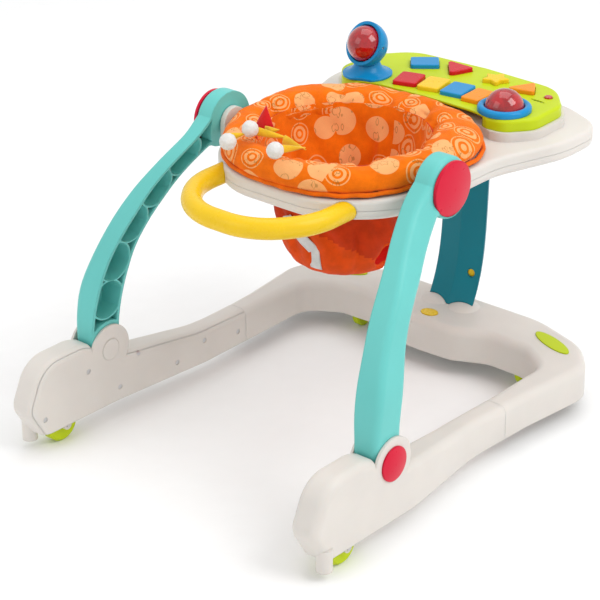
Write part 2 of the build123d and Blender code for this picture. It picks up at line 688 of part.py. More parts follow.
def star_points(x, y, radius, tips=5, waist=0.55):
    """Corner points of a regular star."""
    points = []
    for k in range(2 * tips):
        reach = radius * (waist if k % 2 else 1)
        angle = math.pi / 2 + k * math.pi / tips
        points.append((x + reach * math.cos(angle), y + reach * math.sin(angle)))
    return points


def disc_plan(x, y, radius):
    """Circle in plan."""
    with BuildSketch() as plan:
        with Locations((x, y)):
            Circle(radius)
    return plan.sketch


def toy_plans(grow=0.0):
    """Plans of everything that is pressed through the panel, by node name."""
    plans = {name: key_plan(*size, grow=grow) for name, size in KEYS.items()}
    plans["button_square"] = key_plan(SQUARE_X, SQUARE_Y, SQUARE_W, SQUARE_D, SQUARE_TURN, grow=grow)
    plans["button_triangle"] = corner_plan(TRIANGLE, SHAPE_ROUND, grow)
    plans["button_star"] = corner_plan(star_points(STAR_X, STAR_Y, STAR_R), 2, grow)
    plans["button_arrow"] = corner_plan(ARROW, SHAPE_ROUND, grow)
    plans["power_button"] = disc_plan(POWER_X, POWER_Y, POWER_R + grow)
    return plans


with BuildPart() as toy_panel:
    with BuildSketch(Plane.XY.offset(PLINTH_TOP)):
        with BuildLine():
            right = FilletPolyline(*PANEL_LINE, radius=PANEL_RADII)
            mirror(right, about=Plane.YZ)
        make_face()
    extrude(amount=PANEL_TOP - PLINTH_TOP)
    fillet(toy_panel.edges().filter_by(lambda e: e.center().Z > PANEL_TOP - 0.5), radius=5)
    with BuildSketch(Plane.XY.offset(PLINTH_TOP)):
        with BuildLine():
            right = FilletPolyline(*PANEL_LINE, radius=PANEL_RADII)
            mirror(right, about=Plane.YZ)
        make_face()
        offset(amount=-4)
    extrude(amount=PANEL_TOP - PLINTH_TOP - PANEL_WALL, mode=Mode.SUBTRACT)
    for plan in toy_plans(KEY_FIT).values():
        add(plan)
        extrude(amount=500, mode=Mode.SUBTRACT)
    with BuildSketch(Plane.XY.offset(PANEL_TOP - 10)):
        with Locations((DOME_X, DOME_Y)):
            Circle(DOME_R + 1)
    extrude(amount=20, mode=Mode.SUBTRACT)
    with BuildSketch(Plane.XY.offset(PLINTH_TOP)):
        add(cushion_plan(CUSHION_GAP))
    extrude(amount=PANEL_TOP - PLINTH_TOP, mode=Mode.SUBTRACT)
    with BuildSketch(Plane.XY.offset(PANEL_TOP - 10)):
        for row in range(4):
            with Locations(Location((128 + 5 * row, 292, 0), (0, 0, -20))):
                SlotOverall(11, 2)
    extrude(amount=20, mode=Mode.SUBTRACT)
write(toy_panel, "toy_panel")

for node, plan in toy_plans().items():
    proud = 2.5 if node == "power_button" else KEY_PROUD
    with BuildPart() as button:
        with Locations((0, 0, PANEL_TOP - 10)):
            add(plan)
        extrude(amount=10 + proud)
    top_z = button.part.bounding_box().max.Z
    with BuildPart() as softened:
        add(button.part)
        fillet(softened.edges().filter_by(lambda e: e.center().Z > top_z - 0.1), radius=1.6)
    write(softened, node)

# ---------------------------------------------------------------- dome
with BuildPart() as dome_ring:
    with BuildSketch(Plane(origin=(DOME_X, DOME_Y, PANEL_TOP), x_dir=(1, 0, 0), z_dir=(0, -1, 0))):
        with BuildLine():
            Polyline((28.6, 7), (28.6, 0.1), (38.5, 0.1), (38.5, 4))
            ThreePointArc((38.5, 4), (35, 9), (28.6, 7))
        make_face()
    revolve(axis=Axis((DOME_X, DOME_Y, 0), (0, 0, 1)))
write(dome_ring, "dome_ring")

with BuildPart() as dome:
    with BuildSketch(Plane(origin=(DOME_X, DOME_Y, PANEL_TOP), x_dir=(0, 0, 1), z_dir=(0, 1, 0))):
        with BuildLine():
            Polyline((DOME_H, 0), (-8, 0), (-8, DOME_R), (6, DOME_R))
            cap_arc(6, DOME_H - 6, DOME_R)
        make_face()
    revolve(axis=Axis((DOME_X, DOME_Y, 0), (0, 0, 1)))
write(dome, "dome")

# ---------------------------------------------------------------- spinning ball in its cup
CUP_R, CUP_IN_R = 33.0, 28.0
BALL_AXLE_R = 2.0
CUP_FACE = (-0.10, -0.88, 0.46)
CUP_RIM = 2.0                 # the cup's rim stands this far in front of the ball's middle
STAND_X, STAND_Y = -121.0, 227.0

with BuildPart() as ball_stand:
    with BuildSketch(Plane(origin=(STAND_X, STAND_Y, PANEL_TOP), x_dir=(1, 0, 0), z_dir=(0, -1, 0))):
        with BuildLine():
            Polyline((18, 22), (0, 22), (0, 0.1), (36.5, 0.1), (36.5, 3))
            ThreePointArc((36.5, 3), (24, 9), (18, 22))
        make_face()
    revolve(axis=Axis((STAND_X, STAND_Y, 0), (0, 0, 1)))
    with BuildSketch(Plane.XY.offset(PANEL_TOP)):
        add(cushion_plan(CUSHION_GAP))
    extrude(amount=BALL_Z - PANEL_TOP, mode=Mode.SUBTRACT)
    with Locations((BALL_X, BALL_Y, BALL_Z)):
        Sphere(CUP_R + 0.1, mode=Mode.SUBTRACT)
write(ball_stand, "ball_stand")

with BuildPart() as ball_cup:
    with Locations((BALL_X, BALL_Y, BALL_Z)):
        Sphere(CUP_R)
        Sphere(CUP_IN_R, mode=Mode.SUBTRACT)
    rim_plane = Plane(origin=(BALL_X, BALL_Y, BALL_Z), z_dir=CUP_FACE).offset(CUP_RIM + BALL_AXLE_R)
    split(bisect_by=rim_plane, keep=Keep.BOTTOM)
    with BuildSketch(across(BALL_X - 60)):
        with Locations((BALL_Y, BALL_Z)):
            Circle(BALL_AXLE_R)
    extrude(amount=120, mode=Mode.SUBTRACT)
write(ball_cup, "ball_cup")

with BuildPart() as ball:
    with BuildSketch(Plane(origin=(BALL_X, BALL_Y, BALL_Z), x_dir=(1, 0, 0), z_dir=(0, 0, 1))):
        Circle(BALL_R)
        with Locations((0, BALL_AXLE_R + FIT - BALL_R)):
            Rectangle(2 * BALL_R, 2 * BALL_R, mode=Mode.SUBTRACT)
    revolve(axis=Axis((0, BALL_Y, BALL_Z), (1, 0, 0)))
write(ball, "ball")

with BuildPart() as ball_axle:
    with BuildSketch(across(BALL_X - CUP_R + 1)):
        with Locations((BALL_Y, BALL_Z)):
            Circle(BALL_AXLE_R)
    extrude(amount=2 * CUP_R - 2)
write(ball_axle, "ball_axle")

# ---------------------------------------------------------------- electronics under the panel
with BuildPart() as circuit_board:
    with Locations((0, BOARD_Y, PLINTH_TOP - POCKET + 2)):
        Box(BOARD_W, BOARD_D, 1.6)
    with Locations((-30, BOARD_Y - 12, PLINTH_TOP - POCKET + 4), (30, BOARD_Y + 14, PLINTH_TOP - POCKET + 4)):
        Box(14, 10, 2.6)
write(circuit_board, "circuit_board")

with BuildPart() as speaker:
    with Locations((134, 283, PANEL_TOP - PANEL_WALL - 5.5)):
        Cylinder(15, 9)
write(speaker, "speaker")

# ---------------------------------------------------------------- seat: padded rim, sling, webbing and trims
SLING_LINE = [(114, 399), (101, 350), (93, 300), (76, 256), (42, 235), (0, 231)]
HOLE_Y, HOLE_Z = 32.0, 274.0   # middle of the leg holes
HOLE_LONG, HOLE_HIGH = 37.0, 25.0

with BuildPart() as cushion:
    with BuildSketch(Plane.XY.offset(RING_TOP + GAP)):
        add(cushion_plan(0))
        with Locations((0, RING_Y)):
            Circle(CUSHION_IN_R, mode=Mode.SUBTRACT)
    extrude(amount=CUSHION_TOP - RING_TOP - GAP)
    fillet(cushion.edges().filter_by(lambda e: e.center().Z > CUSHION_TOP - 0.1), radius=18)
    fillet(cushion.edges().filter_by(lambda e: e.center().Z < RING_TOP + 1), radius=8)
write(cushion, "cushion")


def sling_face(grow):
    """Half section of the sling's outside, grown outward."""
    points = [(r + grow, z) for r, z in SLING_LINE[:4]] + [(r, z - grow) for r, z in SLING_LINE[4:]]
    with BuildSketch(Plane.XZ.offset(-RING_Y)) as face:
        with BuildLine():
            side = FilletPolyline(*points, radius=[60, 60, 40, 30])
            Polyline(side @ 1, (0, SLING_LINE[0][1]), side @ 0)
        make_face()
    return face.sketch


with BuildPart() as seat_sling:
    add(sling_face(0))
    revolve(axis=Axis((0, RING_Y, 0), (0, 0, 1)))
    add(sling_face(-SLING_WALL))
    revolve(axis=Axis((0, RING_Y, 0), (0, 0, 1)), mode=Mode.SUBTRACT)
    for side in (1, -1):
        with BuildSketch(across(side * 42)):
            with Locations((HOLE_Y, HOLE_Z)):
                Ellipse(HOLE_LONG, HOLE_HIGH)
        extrude(amount=side * 100, mode=Mode.SUBTRACT)
write(seat_sling, "seat_sling")

with BuildPart() as seat_strap:
    add(sling_face(2.6))
    revolve(axis=Axis((0, RING_Y, 0), (0, 0, 1)))
    add(sling_face(0.4))
    revolve(axis=Axis((0, RING_Y, 0), (0, 0, 1)), mode=Mode.SUBTRACT)
    with BuildSketch(Plane.XY.offset(150)):
        with Locations(Location((-3, RING_Y - 76, 0), (0, 0, 43))):
            Rectangle(66, 18)
    extrude(amount=160, mode=Mode.INTERSECT)
write(seat_strap, "seat_strap")

POMPOMS = [(-67, -137, 449), (-62, -98, 456.5), (12, -132, 455)]
with BuildPart() as pompoms:
    with Locations(*POMPOMS):
        Sphere(12)
write(pompoms, "pompoms")

with BuildPart() as felt_points:
    for x, y, tall, wide in ((-44, -80, 36, 24), (-22, -88, 20, 20)):
        with BuildSketch(Plane(origin=(x, y, CUSHION_TOP + 0.3), x_dir=(0.8, 0.6, 0), z_dir=(0.6, -0.8, 0))):
            with BuildLine():
                Polyline((-wide / 2, 0), (wide / 2, 0), (0, tall), close=True)
            make_face()
        extrude(amount=2.5)
write(felt_points, "felt_points")
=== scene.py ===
import json
import math

import bmesh
import bpy
from mathutils import Matrix, Vector, noise


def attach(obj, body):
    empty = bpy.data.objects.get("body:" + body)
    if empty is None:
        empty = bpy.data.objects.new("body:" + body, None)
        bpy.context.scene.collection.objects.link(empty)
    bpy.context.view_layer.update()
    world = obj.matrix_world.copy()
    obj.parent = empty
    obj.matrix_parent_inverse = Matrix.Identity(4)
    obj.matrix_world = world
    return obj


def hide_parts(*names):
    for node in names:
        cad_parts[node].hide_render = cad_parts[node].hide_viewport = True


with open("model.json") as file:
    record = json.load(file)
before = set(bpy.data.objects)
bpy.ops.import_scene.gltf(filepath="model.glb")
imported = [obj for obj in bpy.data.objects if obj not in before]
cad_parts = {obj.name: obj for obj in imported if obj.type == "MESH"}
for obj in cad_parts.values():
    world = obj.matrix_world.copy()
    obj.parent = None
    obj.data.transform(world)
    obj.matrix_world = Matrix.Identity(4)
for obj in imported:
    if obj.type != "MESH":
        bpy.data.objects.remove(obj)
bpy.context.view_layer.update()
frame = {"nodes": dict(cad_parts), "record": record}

NODES = frame["nodes"]
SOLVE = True        # cloth is simulated only when this is true

# ---------------------------------------------------------------- sizes in metres
RING_Y = 0.028                # middle of the seat ring
TUBE_R, TUBE_Z = 0.139, 0.421  # middle of the cushion's section
CLOTH_CAP = 0.006             # the most the simulated cloth may swell
FLOOR_SIZE = 40.0


# ---------------------------------------------------------------- node helpers
def start_material(name):
    """New node material and its shader."""
    material = bpy.data.materials.new(name)
    material.use_nodes = True
    tree = material.node_tree
    return material, tree, tree.nodes["Principled BSDF"]


def add_node(tree, kind, **settings):
    """Node with its properties and inputs set; an input is named with spaces as underscores."""
    node = tree.nodes.new(kind)
    for key, value in settings.items():
        if hasattr(node, key):
            setattr(node, key, value)
        else:
            node.inputs[key.replace("_", " ")].default_value = value
    return node


def math_node(tree, operation, first, second=None):
    """Math node on sockets or plain numbers."""
    node = tree.nodes.new("ShaderNodeMath")
    node.operation = operation
    for place, value in ((0, first), (1, second)):
        if isinstance(value, (int, float)):
            node.inputs[place].default_value = value
        elif value is not None:
            tree.links.new(value, node.inputs[place])
    return node.outputs[0]


def blend_colours(tree, factor, first, second):
    """Mixes two colours or sockets by a factor socket."""
    node = tree.nodes.new("ShaderNodeMix")
    node.data_type = "RGBA"
    for place, value in ((0, factor), (6, first), (7, second)):
        if isinstance(value, bpy.types.NodeSocket):
            tree.links.new(value, node.inputs[place])
        elif place == 0:
            node.inputs[place].default_value = value
        else:
            node.inputs[place].default_value = (*value, 1)
    return node.outputs[2]


def step(tree, value, low, high):
    """Smooth 0 to 1 ramp of a socket between two values."""
    node = add_node(tree, "ShaderNodeMapRange", interpolation_type="SMOOTHSTEP")
    node.inputs["From Min"].default_value = low
    node.inputs["From Max"].default_value = high
    tree.links.new(value, node.inputs["Value"])
    return node.outputs[0]


def object_coords(tree):
    """Position on the piece in metres."""
    return add_node(tree, "ShaderNodeTexCoord").outputs["Object"]


def noise_value(tree, coords, scale, detail=2.0, rough=0.5):
    """Noise factor at a scale per metre."""
    node = add_node(tree, "ShaderNodeTexNoise", Scale=scale, Detail=detail, Roughness=rough)
    tree.links.new(coords, node.inputs["Vector"])
    return node.outputs["Fac"]


def bump(tree, shader, height, strength, distance):
    """Feeds a height socket to the shader's normal."""
    node = add_node(tree, "ShaderNodeBump", Strength=strength, Distance=distance)
    tree.links.new(height, node.inputs["Height"])
    tree.links.new(node.outputs[0], shader.inputs["Normal"])
    return node


# ---------------------------------------------------------------- hard materials
EDGE_SOFT = 0.0025            # rounding of moulded edges in shading


def shade_of(colour, gain):
    """Colour made lighter or darker."""
    return tuple(min(1.0, c * gain) for c in colour)


def plastic(name, colour, rough=0.32, grain=0.10, coat=0.0, glow=0.0, shine=0.22):
    """Moulded plastic: fine grain, cloudy colour and roughness, hairline scuffs."""
    material, tree, shader = start_material(name)
    coords = object_coords(tree)
    clouds = noise_value(tree, coords, 9.0, 3.0)
    fine = noise_value(tree, coords, 60.0, 4.0)
    base = blend_colours(tree, step(tree, clouds, 0.3, 0.7), shade_of(colour, 0.965), shade_of(colour, 1.03))
    base = blend_colours(tree, math_node(tree, "MULTIPLY", fine, 0.10), base, shade_of(colour, 0.86))
    tree.links.new(base, shader.inputs["Base Color"])
    stretched = add_node(tree, "ShaderNodeMapping", Scale=(1.0, 0.06, 1.0))
    tree.links.new(coords, stretched.inputs["Vector"])
    scuffs = step(tree, noise_value(tree, stretched.outputs[0], 420.0, 5.0, 0.7), 0.60, 0.72)
    wear = math_node(tree, "MULTIPLY", scuffs, 0.07)
    soft = math_node(tree, "MULTIPLY_ADD", fine, 0.14)
    soft.node.inputs[2].default_value = rough - 0.07
    tree.links.new(math_node(tree, "ADD", soft, wear), shader.inputs["Roughness"])
    grains = noise_value(tree, coords, 1800.0, 2.0)
    ripple = math_node(tree, "MULTIPLY", noise_value(tree, coords, 22.0, 1.0), 2.0)
    relief = bump(tree, shader, math_node(tree, "ADD", grains, ripple), grain, 0.0003)
    rounded = add_node(tree, "ShaderNodeBevel", samples=6, Radius=EDGE_SOFT)
    tree.links.new(rounded.outputs[0], relief.inputs["Normal"])
    shader.inputs["Specular IOR Level"].default_value = shine
    shader.inputs["IOR"].default_value = 1.49
    shader.inputs["Coat Weight"].default_value = coat
    shader.inputs["Coat Roughness"].default_value = 0.08
    if glow:
        shader.inputs["Subsurface Weight"].default_value = glow
        shader.inputs["Subsurface Radius"].default_value = (0.010, 0.006, 0.004)
        shader.inputs["Subsurface Scale"].default_value = 0.6
    return material


def tinted(name, colour):
    """Clear coloured plastic of the dome, the ball and the lamp button."""
    material, tree, shader = start_material(name)
    coords = object_coords(tree)
    swirl = noise_value(tree, coords, 70.0, 3.0)
    base = blend_colours(tree, step(tree, swirl, 0.35, 0.7), colour, shade_of(colour, 0.62))
    tree.links.new(base, shader.inputs["Base Color"])
    rough = math_node(tree, "MULTIPLY_ADD", noise_value(tree, coords, 300.0, 3.0), 0.10)
    rough.node.inputs[2].default_value = 0.03
    tree.links.new(rough, shader.inputs["Roughness"])
    bump(tree, shader, noise_value(tree, coords, 900.0, 1.0), 0.04, 0.0002)
    shader.inputs["Transmission Weight"].default_value = 0.30
    shader.inputs["Coat Weight"].default_value = 0.9
    shader.inputs["Coat Roughness"].default_value = 0.03
    shader.inputs["IOR"].default_value = 1.5
    return material


def metal(name, colour, rough=0.3):
    """Zinc-plated steel with drawn lines."""
    material, tree, shader = start_material(name)
    stretched = add_node(tree, "ShaderNodeMapping", Scale=(0.05, 1.0, 1.0))
    tree.links.new(object_coords(tree), stretched.inputs["Vector"])
    lines = noise_value(tree, stretched.outputs[0], 2500.0, 3.0)
    base = blend_colours(tree, lines, shade_of(colour, 0.8), shade_of(colour, 1.1))
    tree.links.new(base, shader.inputs["Base Color"])
    soft = math_node(tree, "MULTIPLY_ADD", lines, 0.2)
    soft.node.inputs[2].default_value = rough - 0.1
    tree.links.new(soft, shader.inputs["Roughness"])
    bump(tree, shader, lines, 0.1, 0.0002)
    shader.inputs["Metallic"].default_value = 1.0
    return material


# ---------------------------------------------------------------- cloth materials
def weave_height(tree, pitch):
    """Plain weave from the cloth's own grid: warp and weft crests at the given pitch in metres."""
    coords = add_node(tree, "ShaderNodeUVMap", uv_map="cloth").outputs[0]
    parts = add_node(tree, "ShaderNodeSeparateXYZ")
    tree.links.new(coords, parts.inputs[0])
    turns = 2 * math.pi / pitch
    warp = math_node(tree, "SINE", math_node(tree, "MULTIPLY", parts.outputs[0], turns))
    weft = math_node(tree, "SINE", math_node(tree, "MULTIPLY", parts.outputs[1], turns))
    return math_node(tree, "MULTIPLY", warp, weft)


def cloth(name, colour, pitch=0.0009, sheen=0.06, rough=0.78, printed=False):
    """Woven cloth with lint, soft creases that carry painted shade in their hollows and painted light on
    their crests, painted shade between the threads and, on the seat cover, a printed pattern.
    """
    material, tree, shader = start_material(name)
    coords = object_coords(tree)
    weave = weave_height(tree, pitch)
    creases = noise_value(tree, coords, 45.0, 4.0, 0.6)
    # The colour follows the crease bump: it is darker in the hollows as painted shade and lighter on the
    # crests as painted light.
    base = blend_colours(tree, step(tree, creases, 0.35, 0.7), shade_of(colour, 0.86), shade_of(colour, 1.06))
    if printed:
        base = printed_pattern(tree, coords, base)
    # Between the threads the colour is darkened towards black: this is painted shade in the gaps of the
    # weave.
    threads = step(tree, weave, -0.9, 0.4)
    base = blend_colours(tree, threads, painted_gap_shade(tree, base), base)
    tree.links.new(base, shader.inputs["Base Color"])
    fuzz = math_node(tree, "MULTIPLY_ADD", noise_value(tree, coords, 700.0, 3.0), 0.16)
    fuzz.node.inputs[2].default_value = rough - 0.08
    tree.links.new(fuzz, shader.inputs["Roughness"])
    height = math_node(tree, "ADD", math_node(tree, "MULTIPLY", weave, 0.25), creases)
    bump(tree, shader, height, 0.35, 0.0012)
    shader.inputs["Sheen Weight"].default_value = sheen
    shader.inputs["Sheen Roughness"].default_value = 0.5
    shader.inputs["Specular IOR Level"].default_value = 0.10
    return material


def painted_gap_shade(tree, colour):
    """Painted shade between the threads: the colour darkened towards black."""
    return blend_colours(tree, 0.16, colour, (0.02, 0.004, 0.0))


PEACH = (1.0, 0.50, 0.20)
OLIVE = (0.25, 0.12, 0.01)
FIGURES = 24.0                # printed figures per metre of cloth


def printed_pattern(tree, coords, ground):
    """Discs, rings and small blossoms, each cell of a scatter holding one figure."""
    flat = add_node(tree, "ShaderNodeUVMap", uv_map="cloth").outputs[0]
    cells = add_node(tree, "ShaderNodeTexVoronoi", voronoi_dimensions="2D", Scale=FIGURES, Randomness=0.70)
    tree.links.new(flat, cells.inputs["Vector"])
    reach = cells.outputs["Distance"]
    kind = add_node(tree, "ShaderNodeSeparateColor")
    tree.links.new(cells.outputs["Color"], kind.inputs[0])
    size = math_node(tree, "MULTIPLY_ADD", kind.outputs[0], 0.16)
    size.node.inputs[2].default_value = 0.34
    spread = math_node(tree, "DIVIDE", reach, size)
    bands = math_node(tree, "SINE", math_node(tree, "MULTIPLY", spread, 14.0))
    inside = math_node(tree, "SUBTRACT", 1.0, step(tree, spread, 0.97, 1.0))
    rings = math_node(tree, "MULTIPLY", step(tree, bands, -0.25, -0.05), inside)
    solid = math_node(tree, "MULTIPLY", math_node(tree, "GREATER_THAN", kind.outputs[1], 0.62), inside)
    figure = math_node(tree, "MAXIMUM", math_node(tree, "MULTIPLY", rings, 0.9), solid)
    coloured = blend_colours(tree, math_node(tree, "MULTIPLY", figure, 0.90), ground, PEACH)
    dots = add_node(tree, "ShaderNodeTexVoronoi", Scale=58.0, Randomness=0.9)
    tree.links.new(coords, dots.inputs["Vector"])
    away = add_node(tree, "ShaderNodeVectorMath", operation="SUBTRACT")
    scaled = add_node(tree, "ShaderNodeVectorMath", operation="SCALE")
    tree.links.new(coords, scaled.inputs[0])
    scaled.inputs["Scale"].default_value = 58.0
    tree.links.new(scaled.outputs[0], away.inputs[0])
    back = add_node(tree, "ShaderNodeVectorMath", operation="SCALE")
    tree.links.new(dots.outputs["Position"], back.inputs[0])
    back.inputs["Scale"].default_value = 58.0
    tree.links.new(back.outputs[0], away.inputs[1])
    spokes = add_node(tree, "ShaderNodeSeparateXYZ")
    tree.links.new(away.outputs[0], spokes.inputs[0])
    turn = math_node(tree, "ARCTAN2", spokes.outputs[1], spokes.outputs[0])
    petals = math_node(tree, "COSINE", math_node(tree, "MULTIPLY", turn, 5.0))
    edge = math_node(tree, "MULTIPLY_ADD", petals, 0.07)
    edge.node.inputs[2].default_value = 0.33
    off = math_node(tree, "ABSOLUTE", math_node(tree, "SUBTRACT", dots.outputs["Distance"], edge))
    line = math_node(tree, "SUBTRACT", 1.0, step(tree, off, 0.02, 0.05))
    chosen = math_node(tree, "MULTIPLY", line, inside)
    coloured = blend_colours(tree, math_node(tree, "MULTIPLY", chosen, 0.5), coloured, OLIVE)
    return coloured


def wool(name, colour):
    """Matted wool of a pompom, darker in the hollows of its pile as painted shade."""
    material, tree, shader = start_material(name)
    coords = object_coords(tree)
    tufts = noise_value(tree, coords, 500.0, 5.0, 0.7)
    # The colour follows the tuft bump: it is darker in the hollows, which is painted shade in the pile.
    tree.links.new(blend_colours(tree, tufts, shade_of(colour, 0.78), colour), shader.inputs["Base Color"])
    bump(tree, shader, tufts, 0.8, 0.0015)
    rough = step(tree, tufts, -1.0, 1.2)
    tree.links.new(rough, shader.inputs["Roughness"])
    shader.inputs["Sheen Weight"].default_value = 0.6
    shader.inputs["Specular IOR Level"].default_value = 0.15
    return material


WHITE = (0.70, 0.66, 0.615)
COLOURS = {
    "base_white": plastic("off_white_plastic", WHITE, 0.36, glow=0.12),
    "teal": plastic("light_teal_plastic", (0.150, 0.570, 0.535), 0.34, glow=0.05),
    "deep_teal": plastic("deep_teal_plastic", (0.002, 0.205, 0.270), 0.33),
    "crimson": plastic("crimson_plastic", (0.64, 0.002, 0.032), 0.30, coat=0.05),
    "lime": plastic("lime_plastic", (0.52, 0.64, 0.006), 0.36, glow=0.05),
    "yellow": plastic("yellow_plastic", (0.86, 0.56, 0.015), 0.28, coat=0.05, glow=0.05),
    "white_plastic": plastic("fork_plastic", (0.74, 0.72, 0.69), 0.4),
    "red": plastic("red_plastic", (0.60, 0.002, 0.014), 0.26, coat=0.08),
    "clear_red": tinted("clear_red_plastic", (0.66, 0.002, 0.010)),
    "blue": plastic("blue_plastic", (0.006, 0.26, 0.58), 0.24, coat=0.08),
    "orange": plastic("orange_plastic", (0.88, 0.28, 0.006), 0.28, coat=0.05),
    "led": tinted("lamp_plastic", (0.9, 0.02, 0.01)),
    "steel": metal("plated_steel", (0.62, 0.62, 0.63)),
    "cell": plastic("cell_sleeve", (0.04, 0.04, 0.045), 0.35),
    "board": plastic("board_mask", (0.01, 0.14, 0.04), 0.4),
    "speaker": plastic("speaker_cone", (0.02, 0.02, 0.02), 0.6),
    "webbing": cloth("webbing_weave", (0.70, 0.69, 0.68), 0.0016, 0.1),
    "cushion": cloth("printed_cloth", (0.98, 0.185, 0.0015), printed=True),
    "sling": cloth("plain_cloth", (0.80, 0.075, 0.002)),
    "felt": cloth("red_felt", (0.75, 0.008, 0.010), 0.0005, 0.5, 0.9),
    "pompom": wool("white_wool", (0.88, 0.86, 0.83)),
}
PIPING = cloth("piping_cloth", (0.90, 0.165, 0.003))
RIBBON = cloth("yellow_ribbon", (0.92, 0.56, 0.02), 0.0006, 0.3, 0.6)
INNER_RED = cloth("seat_lining", (0.72, 0.010, 0.004))
UPPER_ORANGE = cloth("upper_panel_cloth", (0.62, 0.040, 0.002))


def dress_nodes():
    """Gives each CAD node the finish of its slot."""
    for part in frame["record"]["subparts"]:
        piece = NODES[part["node"]]
        material = COLOURS[part["material_slot"]]
        piece.data.materials.clear()
        piece.data.materials.append(material)


dress_nodes()


# ---------------------------------------------------------------- mesh helpers
def new_piece(name, points, faces, material, body="tray", smooth=True):
    """Mesh object from points and faces, riding on a body."""
    mesh = bpy.data.meshes.new(name)
    mesh.from_pydata([tuple(p) for p in points], [], faces)
    mesh.validate()
    mesh.update()
    for face in mesh.polygons:
        face.use_smooth = smooth
    piece = bpy.data.objects.new(name, mesh)
    bpy.context.scene.collection.objects.link(piece)
    mesh.materials.append(material)
    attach(piece, body)
    return piece


def grid_faces(rows, columns, wrap_rows=False, wrap_columns=False):
    """Quads of a grid of points stored row by row."""
    faces = []
    for i in range(rows if wrap_rows else rows - 1):
        for j in range(columns if wrap_columns else columns - 1):
            a = i * columns + j
            b = i * columns + (j + 1) % columns
            c = ((i + 1) % rows) * columns + (j + 1) % columns
            d = ((i + 1) % rows) * columns + j
            faces.append((a, b, c, d))
    return faces


def ring_point(angle, radius, height):
    """Point on the seat ring; angle 0 is the rear and a quarter turn the child's right."""
    return Vector((radius * math.sin(angle), RING_Y - radius * math.cos(angle), height))


def ring_angle(point):
    """Angle of a point about the seat ring's axis."""
    return math.atan2(point.x, RING_Y - point.y)


def apply_modifier(piece, modifier):
    """Applies one modifier to a piece."""
    with bpy.context.temp_override(object=piece, active_object=piece, selected_objects=[piece]):
        bpy.ops.object.modifier_apply(modifier=modifier.name)


def lay_cloth_grid(piece, across_of, along_of, wrap_width):
    """UV layer in metres from two functions of a point; a face over the wrap is kept whole."""
    layer = piece.data.uv_layers.new(name="cloth")
    points = piece.data.vertices
    for face in piece.data.polygons:
        start = across_of(points[face.vertices[0]].co)
        for loop in face.loop_indices:
            point = points[piece.data.loops[loop].vertex_index].co
            u = across_of(point)
            if u - start > wrap_width / 2:
                u -= wrap_width
            if start - u > wrap_width / 2:
                u += wrap_width
            layer.data[loop].uv = (u, along_of(point))


def tube(name, points, radius, material, closed=False, body="tray"):
    """Round cord of cloth along points, as a mesh with a slight twist in its radius."""
    sides = 10
    count = len(points)
    rings = []
    for i, here in enumerate(points):
        ahead = points[(i + 1) % count] if closed or i + 1 < count else here
        behind = points[i - 1] if closed or i else here
        run = (ahead - behind).normalized()
        side = run.cross(Vector((0, 0, 1)))
        if side.length < 0.05:
            side = Vector((1, 0, 0))
        side.normalize()
        up = side.cross(run)
        for k in range(sides):
            angle = 2 * math.pi * k / sides
            r = radius * (1 + 0.05 * math.sin(i * 0.9 + 2 * angle))
            rings.append(here + side * (r * math.cos(angle)) + up * (r * math.sin(angle)))
    faces = grid_faces(count, sides, wrap_rows=closed, wrap_columns=True)
    if not closed:
        faces.append(tuple(range(sides))[::-1])
        faces.append(tuple((count - 1) * sides + k for k in range(sides)))
    piece = new_piece(name, rings, faces, material, body)
    lay_cloth_grid(piece, lambda p: 0.16 * ring_angle(p), lambda p: p.z + 0.5 * p.y, 0.32 * math.pi)
    return piece


# ---------------------------------------------------------------- padded rim
SECTION = [(0.161, 0.4020), (0.1675, 0.412), (0.1665, 0.424), (0.160, 0.434), (0.149, 0.4400),
           (0.137, 0.4400), (0.126, 0.4355), (0.117, 0.426), (0.1135, 0.414), (0.1175, 0.4035),
           (0.130, 0.4010), (0.147, 0.4008)]
FOLDS = [(0.86, 0.09, 1.0), (1.62, 0.10, 0.7), (2.45, 0.07, 1.0), (2.80, 0.08, 1.2), (-2.95, 0.07, 1.0),
         (-2.40, 0.09, 0.8), (-1.55, 0.08, 0.9), (-0.75, 0.10, 0.6)]


SECTION_REACH = 0.168         # where the section's outer side lies before it is fitted to the outline
START_SIZE = 0.9              # the section starts this much smaller, because the cloth swells
SIDE_RISE, FRONT_RISE = 0.005, 0.002  # the crest stands this much higher at the sides and the front
FOLD_DEEP, SOFT_DEEP, GATHER_DEEP = 0.0100, 0.0022, 0.0010


def closed_curve(points, count):
    """Catmull-Rom points round a closed section."""
    made = []
    size = len(points)
    for i in range(count):
        place = i * size / count
        k = int(place)
        t = place - k
        p = [Vector((*points[(k + d) % size], 0)) for d in (-1, 0, 1, 2)]
        value = (p[1] * 2 + (p[2] - p[0]) * t + (p[0] * 2 - p[1] * 5 + p[2] * 4 - p[3]) * t * t
                 + (p[1] * 3 - p[0] - p[2] * 3 + p[3]) * t ** 3) * 0.5
        made.append((value.x, value.y))
    return made


def crest(angle):
    """How much higher than at the rear the rim stands."""
    return SIDE_RISE * math.sin(angle) ** 2 + FRONT_RISE * ((1 - math.cos(angle)) / 2) ** 3


def rim_reach(angle):
    """Distance of the rim's outline from the middle of the seat: an oval, fuller under the panel."""
    front = min(1.0, max(0.0, (-math.cos(angle) - 0.05) / 0.35))
    across = 0.1665 + 0.0105 * front
    along = 0.1665 + 0.0095 * front
    power = 2.3 + 0.6 * front
    over_x = (abs(math.sin(angle)) / across) ** power
    over_y = (abs(math.cos(angle)) / along) ** power
    return (over_x + over_y) ** (-1 / power)


def fold_depth(angle):
    """Depth, from 0 to about 1, of the sewn folds that cross the rim."""
    depth = 0.0
    for place, width, strength in FOLDS:
        off = (angle - place + math.pi) % (2 * math.pi) - math.pi
        depth += strength * math.exp(-(off / width) ** 2)
    return depth


